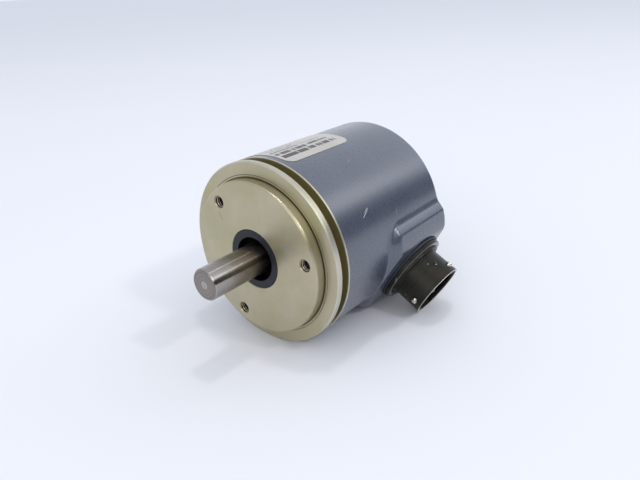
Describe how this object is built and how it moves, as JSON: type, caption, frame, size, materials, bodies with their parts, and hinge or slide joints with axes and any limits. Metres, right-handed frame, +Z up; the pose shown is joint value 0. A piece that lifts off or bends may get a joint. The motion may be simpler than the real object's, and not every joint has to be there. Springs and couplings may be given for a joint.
{
  "type": "rotary encoder",
  "caption": "Cylindrical optical rotary encoder lying on its side: stepped round mounting flange, solid shaft on ball bearings, painted cup cover and a round radial bayonet receptacle.",
  "frame": {"origin": "on the floor, in the middle of the footprint of the encoder as it lies", "axes": "+Z up, the shaft points along -Y, the receptacle points to +X and 29.9 degrees down"},
  "size_m": [0.0724, 0.0818, 0.06],
  "materials": {
    "chromated_aluminium": "satin turned, yellow chromate",
    "grey_paint": "semi-gloss blue-grey paint",
    "stainless_steel": "ground",
    "bearing_steel": "polished",
    "zinc_plate": "plated",
    "spring_steel": "oiled",
    "brass": "turned",
    "black_rubber": "satin",
    "label_film": "printed film",
    "connector_nylon": "moulded",
    "olive_shell": "olive plating, worn at the edges",
    "dark_insert": "matte",
    "gold_contact": "gold plated",
    "disc_glass": "clear",
    "board": "solder mask",
    "black_plastic": "moulded",
    "clear_lens": "clear moulded",
    "capacitor_can": "drawn",
    "wire_jacket": "sleeved"
  },
  "bodies": {
    "housing": {"bayonet_pin_1": "zinc_plate", "bayonet_pin_2": "zinc_plate", "bayonet_pin_3": "zinc_plate", "bearing_spacer": "zinc_plate", "board_header": "connector_nylon", "board_spacer_1": "zinc_plate", "board_spacer_2": "zinc_plate", "board_spacer_3": "zinc_plate", "capacitor_1": "capacitor_can", "capacitor_2": "capacitor_can", "connector_gasket": "black_rubber", "connector_insert": "dark_insert", "connector_nut": "zinc_plate", "connector_shell": "olive_shell", "contact_pin_1": "gold_contact", "contact_pin_10": "gold_contact", "contact_pin_2": "gold_contact", "contact_pin_3": "gold_contact", "contact_pin_4": "gold_contact", "contact_pin_5": "gold_contact", "contact_pin_6": "gold_contact", "contact_pin_7": "gold_contact", "contact_pin_8": "gold_contact", "contact_pin_9": "gold_contact", "cover": "grey_paint", "cover_o_ring": "black_rubber", "cover_screw_1": "zinc_plate", "cover_screw_2": "zinc_plate", "cover_screw_3": "zinc_plate", "cover_spacer_1": "zinc_plate", "cover_spacer_2": "zinc_plate", "cover_spacer_3": "zinc_plate", "driver_chip": "black_plastic", "flange": "chromated_aluminium", "front_bearing_outer_ring": "bearing_steel", "header_plug": "connector_nylon", "housing_circlip": "spring_steel", "label": "label_film", "led": "clear_lens", "led_holder": "black_plastic", "light_sensor": "black_plastic", "main_board": "board", "rear_bearing_outer_ring": "bearing_steel", "reticle": "disc_glass", "shaft_seal": "black_rubber", "wave_washer": "spring_steel", "wire_bundle": "wire_jacket"},
    "rotor": {"shaft": "stainless_steel", "shaft_circlip": "spring_steel", "disc_hub": "brass", "hub_set_screw": "zinc_plate", "code_disc": "disc_glass", "disc_clamp_ring": "brass", "front_bearing_inner_ring": "bearing_steel", "rear_bearing_inner_ring": "bearing_steel"},
    "front_cage": {"front_bearing_ball_cage": "bearing_steel"},
    "rear_cage": {"rear_bearing_ball_cage": "bearing_steel"}
  },
  "joints": [
    {"name": "shaft_spin", "type": "hinge", "parent": "housing", "child": "rotor", "pos_m": [-0.0062, -0.0209, 0.03], "axis": [0, -1, 0], "continuous": true},
    {"name": "front_cage_spin", "type": "hinge", "parent": "housing", "child": "front_cage", "pos_m": [-0.0062, -0.013, 0.03], "axis": [0, -1, 0], "continuous": true},
    {"name": "rear_cage_spin", "type": "hinge", "parent": "housing", "child": "rear_cage", "pos_m": [-0.0062, 0.0032, 0.03], "axis": [0, -1, 0], "continuous": true}
  ],
  "couplings": [
    {"joint": "front_cage_spin", "follows": "shaft_spin", "ratio": 0.40937},
    {"joint": "rear_cage_spin", "follows": "shaft_spin", "ratio": 0.40937}
  ]
}
